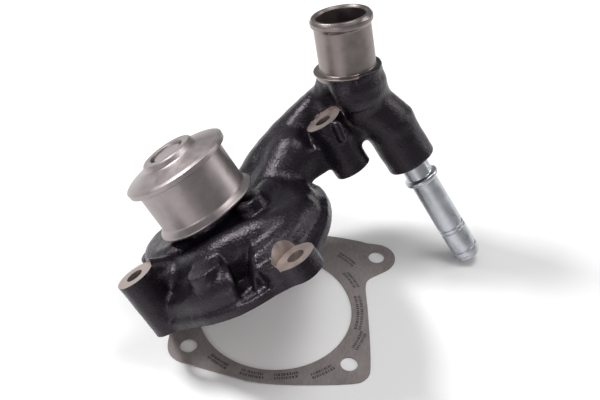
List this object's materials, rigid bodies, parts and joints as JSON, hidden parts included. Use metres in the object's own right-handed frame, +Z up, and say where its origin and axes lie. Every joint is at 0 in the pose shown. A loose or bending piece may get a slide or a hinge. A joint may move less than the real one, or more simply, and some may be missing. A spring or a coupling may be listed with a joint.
{
  "type": "engine water pump",
  "caption": "Belt-driven coolant pump: cast housing with mounting flange, outlet arm, hose neck and bypass tube, shaft with pulley and impeller, loose flat gasket.",
  "frame": {"origin": "on the ground, under the middle of the whole object as it lies", "axes": "+Z up from the ground; the shaft leans 36 degrees from +Z, its pulley end towards -X; +X towards the hose neck and tube"},
  "size_m": [0.192, 0.145, 0.1421],
  "materials": {
    "cast_iron_painted": "sand cast, satin black paint, machined faces bare",
    "tube_metal": "bright zinc plate",
    "bearing_steel": "ground",
    "cage_polymer": "glass-filled polyamide",
    "seal_rubber": "moulded",
    "seal_sheet_metal": "stamped sheet",
    "spring_steel": "pressed strip, hardened",
    "carbon": "lapped carbon",
    "seal_ceramic": "lapped",
    "sleeve_brass": "turned",
    "impeller_iron": "as cast, turned hub",
    "pulley_steel": "turned, satin",
    "gasket_fibre": "pressed fibre sheet"
  },
  "bodies": {
    "pump_casing": {"housing": "cast_iron_painted", "bypass_tube": "tube_metal", "bearing_outer_ring": "bearing_steel", "bearing_seal_front": "seal_rubber", "bearing_seal_rear": "seal_rubber", "seal_case": "seal_sheet_metal", "seal_bellows": "seal_rubber", "seal_spring": "spring_steel", "spring_cup": "seal_sheet_metal", "seal_carbon_ring": "carbon"},
    "rotor": {"bearing_shaft": "bearing_steel", "slinger": "seal_sheet_metal", "seal_sleeve": "sleeve_brass", "seat_boot": "seal_rubber", "seal_seat": "seal_ceramic", "impeller": "impeller_iron", "pulley": "pulley_steel"},
    "ball_set": {"bearing_balls": "bearing_steel", "ball_cage": "cage_polymer"},
    "roller_set": {"bearing_rollers": "bearing_steel", "roller_cage": "cage_polymer"},
    "gasket_sheet": {"gasket": "gasket_fibre"}
  },
  "joints": [
    {"name": "shaft_spin", "type": "hinge", "parent": "pump_casing", "child": "rotor", "pos_m": [-0.0645, 0.00237, 0.071], "axis": [-0.5397, 0.2403, 0.8069], "continuous": true},
    {"name": "ball_set_spin", "type": "hinge", "parent": "pump_casing", "child": "ball_set", "pos_m": [-0.0645, 0.00237, 0.071], "axis": [-0.5397, 0.2403, 0.8069], "continuous": true},
    {"name": "roller_set_spin", "type": "hinge", "parent": "pump_casing", "child": "roller_set", "pos_m": [-0.05533, -0.00172, 0.05729], "axis": [-0.5397, 0.2403, 0.8069], "continuous": true},
    {"name": "gasket_slide", "type": "slide", "parent": "pump_casing", "child": "gasket_sheet", "axis": [0, -1, 0], "range_m": [0, 0.12]}
  ],
  "couplings": [
    {"joint": "ball_set_spin", "follows": "shaft_spin", "ratio": 0.3436},
    {"joint": "roller_set_spin", "follows": "shaft_spin", "ratio": 0.3811}
  ]
}
